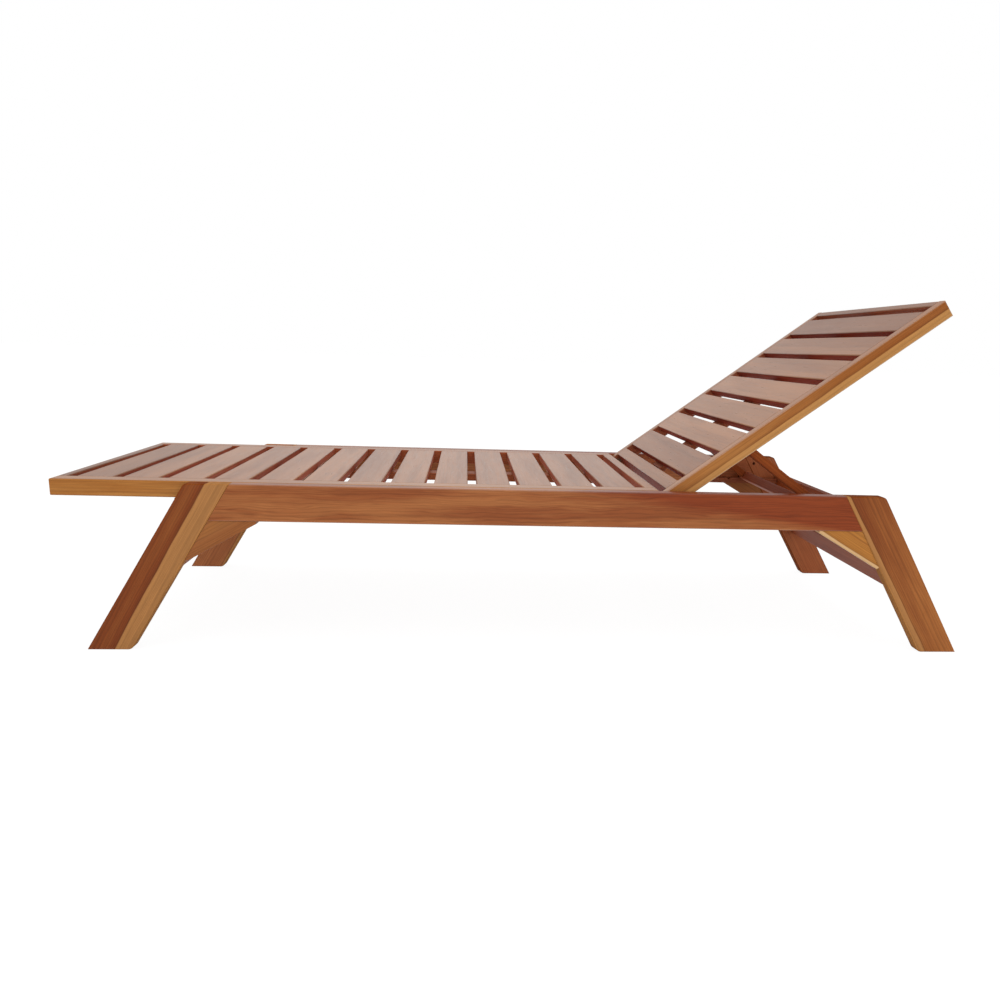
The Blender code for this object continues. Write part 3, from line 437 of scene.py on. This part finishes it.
# Seat slats and end rails
# Thirteen 17 mm slats tenoned into the stiles, flush with them on top, between a narrow, darker foot
# rail and the end rail beside the backrest. Each board was cut from another part of the log.
slat_width, slat_gap, slat_depth, slat_count = 0.0735, 0.0197, 0.017, 13
foot_rail_width, end_rail_width = 0.0175, 0.0245
slat_end = stile_inner - CLEARANCE
first_slat = foot_end + foot_rail_width + slat_gap
slat_teak = oiled_teak("oiled_teak_slats", "#a4714e", "#7e523a", "#865638", "#b08a66", streaks=0.35,
                       line=0.10, roughness=0.30, ior=1.6)
slat_edge_teak = oiled_teak("oiled_teak_slat_edges", "#ae6048", "#9c503c", "#803e2a", "#a06c4c",
                            roughness=0.6, ior=1.15)
seat_boards = {"foot_rail": (foot_end, foot_rail_width, seat_depth),
               "seat_end_rail": (seat_end - end_rail_width, end_rail_width, seat_depth)}
seat_boards.update({
    f"seat_slat_{i + 1:02d}": (first_slat + i * (slat_width + slat_gap), slat_width, slat_depth)
    for i in range(slat_count)})
pith = np.random.default_rng(7).uniform((-0.03, 0.03), (0.03, 0.11), (40, 2))
tones = np.random.default_rng(3).uniform(0.0, 0.5, len(seat_boards))
tones[0] = 0.85
for number, (node, (start, width, depth)) in enumerate(seat_boards.items()):
    across, below = pith[number]
    slat = board(f"teak_{node}", oblong(start, start + width, -slat_end, slat_end), depth,
                 (0.0, 0.0, seat_height - depth / 2), (X, Y), pi / 2, (26 + number, across, -below),
                 tones[number], slat_teak, cross_teak if node == "foot_rail" else slat_edge_teak,
                 eased=SHARP_ENDS, pale_arris=True)
    fit(slat, "base", "teak_slats", node)


# Seat batten
# A 45 mm batten runs lengthwise under the middle of the slats and is screwed to each of them, so that
# they stay level under load. It shows through the gaps.
batten_width, batten_depth = 0.045, 0.018
batten_from, batten_to = foot_end + foot_rail_width + CLEARANCE, seat_end - end_rail_width - CLEARANCE
batten_height = seat_height - slat_depth - CLEARANCE - batten_depth / 2
batten_teak = oiled_teak("oiled_teak_battens", "#96502c", "#8a4426", "#783616", "#b08458", streaks=0.4)
batten = board("batten_seat", oblong(batten_from, batten_to, -batten_width / 2, batten_width / 2),
               batten_depth, (0.0, 0.0, batten_height), (X, Y), 0.0, (45, 0.02, 0.06), 0.3,
               batten_teak, batten_teak)
fit(batten, "base", "teak_rails", "seat_batten")


# Backrest stiles
# Two stiles of 23 x 38 mm, rounded at the hinge and square at the head, of the seat stiles' wood, with
# a dark grain line along the middle of the left one's outer face. They turn on bolts at the hinge.
recline = radians(36.6)
hinge = np.array([0.3018, 0.0, 0.343])
up_back = np.array([cos(recline), 0.0, sin(recline)])
off_back = np.array([-sin(recline), 0.0, cos(recline)])
back_depth, back_length, back_stile_width, hinge_radius = 0.038, 0.7166, 0.023, 0.0188
back_inner = stile_outer - back_stile_width
back_grain = 0.006
back_cuts = {"left": (47, 0.148, 0.0), "right": (48, 0.060, 0.11)}
back_tones = {"left": (0.3, 0.8), "right": 1.0}
for side, out in SIDES.items():
    corners = oblong(-back_depth / 2, back_length, -back_depth / 2, back_depth / 2)
    stile = board(f"stile_back_{side}", corners, back_stile_width,
                  hinge + Y * out * (back_inner + stile_outer) / 2, (up_back, off_back), back_grain,
                  back_cuts[side], back_tones[side], stile_teak[side], stile_top_teak,
                  radii=(hinge_radius, 0.0, 0.0, hinge_radius), steps=ROUND_STEPS)
    fit(stile, "backrest", "teak_frame", f"back_stile_{side}")


# Backrest slats, bottom rail and head rail
# Seven 20 mm slats between a bottom rail and a narrow head rail, tenoned into the stiles and flush
# with them in front. The bottom rail stands out at the back, with a sharp edge, and closes the hinge.
back_slat_width, back_gap, back_slat_depth, back_slat_count = 0.071, 0.0202, 0.020, 7
bottom_from, bottom_width, bottom_extra, head_width = 0.0095, 0.0305, 0.0075, 0.0180
first_back, back_slat_end = bottom_from + bottom_width + back_gap, back_inner - CLEARANCE
back_boards = {"back_bottom_rail": (bottom_from, bottom_width, back_depth + bottom_extra),
               "head_rail": (back_length - head_width, head_width, back_depth)}
back_boards.update({
    f"back_slat_{i + 1}": (first_back + i * (back_slat_width + back_gap), back_slat_width, back_slat_depth)
    for i in range(back_slat_count)})
back_edge_teak = oiled_teak("oiled_teak_back_slat_edges", "#94402c", "#823424", "#6a2616", "#8a5a38",
                            roughness=0.6, ior=1.15)
back_slat_tones = (0.45, 0.8, 0.6, 0.1, -0.2, 0.1, 0.3, 0.5, 0.9)
for number, (node, (start, width, depth)) in enumerate(back_boards.items()):
    across, below = pith[20 + number]
    slat = board(f"teak_{node}", oblong(start, start + width, -back_slat_end, back_slat_end), depth,
                 hinge + off_back * (back_depth / 2 - depth / 2), (up_back, Y), pi / 2,
                 (50 + number, across, -below), back_slat_tones[number], slat_teak,
                 cross_teak if node == "head_rail" else back_edge_teak,
                 eased=(0.0, 1.0, 0.0, 0.0 if node == "back_bottom_rail" else 1.0), pale_arris=True)
    fit(slat, "backrest", "teak_slats", node)


# Backrest batten
# Wider and thinner than the seat's, and screwed to the backs of the slats along their middle.
back_batten_width, back_batten_depth = 0.075, 0.013
batten_from, batten_to = first_back - back_gap / 2, back_length - head_width - back_gap / 2
batten_behind = back_depth / 2 - back_slat_depth - CLEARANCE - back_batten_depth / 2
corners = oblong(batten_from, batten_to, -back_batten_width / 2, back_batten_width / 2)
batten = board("batten_back", corners, back_batten_depth, hinge + off_back * batten_behind,
               (up_back, Y), 0.0, (60, 0.02, 0.06), 0.6, batten_teak, batten_teak)
fit(batten, "backrest", "teak_rails", "back_batten")


# Prop
# Two slim arms hang from bolts in the backrest stiles, and a bar across their feet drops into the
# notches of the racks. The arms are rounded at the bolt and tenoned into the bar.
arm_tilt = radians(35.47)
pivot_up, pivot_behind = 0.2067, 0.0115
arm_pivot = hinge + up_back * pivot_up - off_back * pivot_behind
arm_reach, arm_width, arm_thickness, arm_radius, arm_arris = 0.2559, 0.018, 0.022, 0.0088, 0.0012
bar_depth, bar_width, bar_half = 0.020, 0.024, 0.2812
down_arm = np.array([cos(arm_tilt), 0.0, -sin(arm_tilt)])
off_arm = np.array([sin(arm_tilt), 0.0, cos(arm_tilt)])
prop_teak = oiled_teak("oiled_teak_prop", "#8a4620", "#804028", "#6c2c12", "#a87850", roughness=0.8,
                       ior=1.05)
arm_foot = arm_reach - bar_depth / 2 - CLEARANCE
arm_cuts = {"left": (62, 0.05, 0.05), "right": (63, 0.05, 0.05)}
for side, out in SIDES.items():
    corners = oblong(-arm_width / 2, arm_foot, -arm_width / 2, arm_width / 2)
    arm = board(f"arm_{side}", corners, arm_thickness,
                arm_pivot + Y * out * (back_slat_end - arm_thickness / 2), (down_arm, off_arm), 0.0,
                arm_cuts[side], 0.3, prop_teak, prop_teak, radii=(arm_radius, 0.0, 0.0, arm_radius),
                eased=(1.0, 0.0, 1.0, 1.0), arris=arm_arris, steps=ROUND_STEPS)
    fit(arm, "prop", "teak_rails", f"prop_arm_{side}")
bar = board("bar_prop", oblong(-bar_depth / 2, bar_depth / 2, -bar_half, bar_half), bar_width,
            arm_pivot + down_arm * arm_reach, (down_arm, Y), pi / 2, (65, 0.05, 0.05), 1.0,
            cross_teak, cross_teak)
fit(bar, "prop", "teak_rails", "prop_bar")


# Racks, pegs and pins
# The notched racks inside the rails, the pegs through the rails' tenons and the pins in the bar's ends
# keep their solids' shape. Plain red-brown teak, turned or sawn, with its grain along the piece.
def turned_teak(name, heart, streak, stretch):
    """Oiled teak for small pieces, on Object coordinates: fibres drawn out along the piece."""
    material = bpy.data.materials.new(name)
    tree = emptied(material)
    place = add(tree, "ShaderNodeTexCoord", {}, {})["Object"]
    place = add(tree, "ShaderNodeMapping", {"Scale": stretch}, {"Vector": place})[0]
    fibre = add(tree, "ShaderNodeTexNoise", {"Scale": 1.0, "Detail": 4.0, "Roughness": 0.6},
                {"Vector": place})[0]
    share = add(tree, "ShaderNodeMapRange", {"From Min": 0.35, "From Max": 0.7}, {"Value": fibre})[0]
    wood = add(tree, "ShaderNodeMix", {"data_type": "RGBA", 6: linear(heart), 7: linear(streak)},
               {0: share})[2]
    gloss = add(tree, "ShaderNodeMapRange", {"To Min": 0.38, "To Max": 0.55}, {"Value": fibre})[0]
    relief = add(tree, "ShaderNodeBump", {"Strength": 0.2, "Distance": 0.0002}, {"Height": fibre})[0]
    shader = add(tree, "ShaderNodeBsdfPrincipled", {"IOR": 1.25},
                 {"Base Color": wood, "Roughness": gloss, "Normal": relief})[0]
    add(tree, "ShaderNodeOutputMaterial", {}, {"Surface": shader})
    return material


along_x, along_y = (14.0, 400.0, 400.0), (400.0, 14.0, 400.0)
rack_teak = turned_teak("oiled_teak_racks", "#8a4a2c", "#64301c", along_x)
peg_teak = turned_teak("oiled_teak_pegs", "#5c2c1a", "#431d10", along_y)
pin_teak = turned_teak("oiled_teak_pins", "#7a4028", "#5a2a1a", along_y)
finishes = {"rack": rack_teak, "front_peg": peg_teak, "rear_peg": peg_teak, "prop_pin": pin_teak}


# Bolts
# Browned steel hinge bolts and stainless prop bolts with flat turned heads, seen only from inside
# the frame. The turning leaves fine marks, which soften the highlights a little.
def turned_steel(name, colour):
    """Turned steel: a clean metal with faint tool marks of about 0.4 mm."""
    material = bpy.data.materials.new(name)
    tree = emptied(material)
    place = add(tree, "ShaderNodeTexCoord", {}, {})["Object"]
    marks = add(tree, "ShaderNodeTexNoise", {"Scale": 2500.0, "Detail": 2.0}, {"Vector": place})[0]
    gloss = add(tree, "ShaderNodeMapRange", {"To Min": 0.22, "To Max": 0.40}, {"Value": marks})[0]
    relief = add(tree, "ShaderNodeBump", {"Strength": 0.15, "Distance": 0.0001}, {"Height": marks})[0]
    shader = add(tree, "ShaderNodeBsdfPrincipled", {"Metallic": 1.0, "Base Color": linear(colour)},
                 {"Roughness": gloss, "Normal": relief})[0]
    add(tree, "ShaderNodeOutputMaterial", {}, {"Surface": shader})
    return material


finishes.update({"hinge_bolt": turned_steel("browned_steel", "#5c4638"),
                 "prop_bolt": turned_steel("stainless_steel", "#c2c0bb")})
for kind, finish in finishes.items():
    for side in SIDES:
        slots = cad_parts[f"{kind}_{side}"].data.materials
        slots.clear()
        slots.append(finish)


# Floor
# A wide pale floor. To the camera and in reflections it is nearly white and keeps a soft shadow; to
# the rest of the light it is a plain pale surface.
floor_half, floor_pale, floor_shade, floor_glow = 40.0, 0.86, 0.12, 0.93
floor_mesh = bpy.data.meshes.new("floor")
corners = oblong(-floor_half, floor_half, -floor_half, floor_half)
floor_mesh.from_pydata([(x, y, 0.0) for x, y in corners], [], [(0, 1, 2, 3)])
floor = bpy.data.objects.new("floor", floor_mesh)
bpy.context.scene.collection.objects.link(floor)
floor_paint = bpy.data.materials.new("pale_matt_floor")
tree = emptied(floor_paint)
path = add(tree, "ShaderNodeLightPath", {}, {})
seen = add(tree, "ShaderNodeMath", {"operation": "MAXIMUM"},
           {0: path["Is Camera Ray"], 1: path["Is Glossy Ray"]})[0]
seen = add(tree, "ShaderNodeMath", {"operation": "MAXIMUM"},
           {0: seen, 1: path["Is Transmission Ray"]})[0]
plain = add(tree, "ShaderNodeBsdfDiffuse", {"Color": (floor_pale, floor_pale, floor_pale, 1.0)}, {})[0]
shadowed = add(tree, "ShaderNodeBsdfDiffuse", {"Color": (floor_shade, floor_shade, floor_shade, 1.0)},
               {})[0]
white = add(tree, "ShaderNodeEmission", {"Strength": floor_glow}, {})[0]
bright = add(tree, "ShaderNodeAddShader", {}, {0: shadowed, 1: white})[0]
surface = add(tree, "ShaderNodeMixShader", {}, {0: seen, 1: plain, 2: bright})[0]
add(tree, "ShaderNodeOutputMaterial", {}, {"Surface": surface})
floor_mesh.materials.append(floor_paint)


# Light
# White surroundings, a wide soft lamp overhead and a weaker one on the camera's side. In reflections
# the surroundings are brightest low down behind the lounger and half as bright elsewhere.
world = bpy.data.worlds.new("white_studio")
bpy.context.scene.world = world
tree = emptied(world)
path = add(tree, "ShaderNodeLightPath", {}, {})
facing = add(tree, "ShaderNodeTexCoord", {}, {})["Generated"]
off_centre = add(tree, "ShaderNodeVectorMath", {"operation": "MULTIPLY", 1: (2.4, 0.0, 1.7)},
                 {0: facing})[0]
off_centre = add(tree, "ShaderNodeVectorMath", {"operation": "DOT_PRODUCT"},
                 {0: off_centre, 1: off_centre})["Value"]
off_centre = add(tree, "ShaderNodeMath", {"operation": "MULTIPLY", 1: -1.0}, {0: off_centre})[0]
glow = add(tree, "ShaderNodeMath", {"operation": "EXPONENT"}, {0: off_centre})[0]
behind = add(tree, "ShaderNodeSeparateXYZ", {}, {0: facing})["Y"]
behind = add(tree, "ShaderNodeMapRange", {"From Min": 0.0, "From Max": 0.4}, {"Value": behind})[0]
glow = add(tree, "ShaderNodeMath", {"operation": "MULTIPLY"}, {0: glow, 1: behind})[0]
glow = add(tree, "ShaderNodeMapRange", {"To Min": 0.45, "To Max": 1.0}, {"Value": glow})[0]
glossy = add(tree, "ShaderNodeMath", {"operation": "MAXIMUM"},
             {0: path["Is Glossy Ray"], 1: path["Is Transmission Ray"]})[0]
strength = add(tree, "ShaderNodeMix", {"data_type": "FLOAT", 2: 0.80}, {0: glossy, 3: glow})[0]
strength = add(tree, "ShaderNodeMath", {"operation": "MAXIMUM"},
               {0: strength, 1: path["Is Camera Ray"]})[0]
sky = add(tree, "ShaderNodeBackground", {"Color": (1.0, 1.0, 1.0, 1.0)}, {"Strength": strength})[0]
add(tree, "ShaderNodeOutputWorld", {}, {"Surface": sky})
lit_point = np.array([0.0, 0.0, 0.3])
lamps = {"overhead_lamp": ((-0.6, -0.6, 4.0), 4.0, 64.0), "side_lamp": ((0.6, -4.5, 1.3), 2.4, 42.0)}
for name, (stand, size, power) in lamps.items():
    lamp = bpy.data.objects.new(name, bpy.data.lights.new(name, "AREA"))
    lamp.data.shape = "SQUARE"
    lamp.data.size = size
    lamp.data.energy = power
    back = np.array(stand) - lit_point
    back /= np.linalg.norm(back)
    sideways = np.cross(Y, back)
    sideways /= np.linalg.norm(sideways)
    lamp.matrix_world = standing(sideways, np.cross(back, sideways), back, stand)
    bpy.context.scene.collection.objects.link(lamp)
bpy.context.scene.view_settings.view_transform = "Standard"
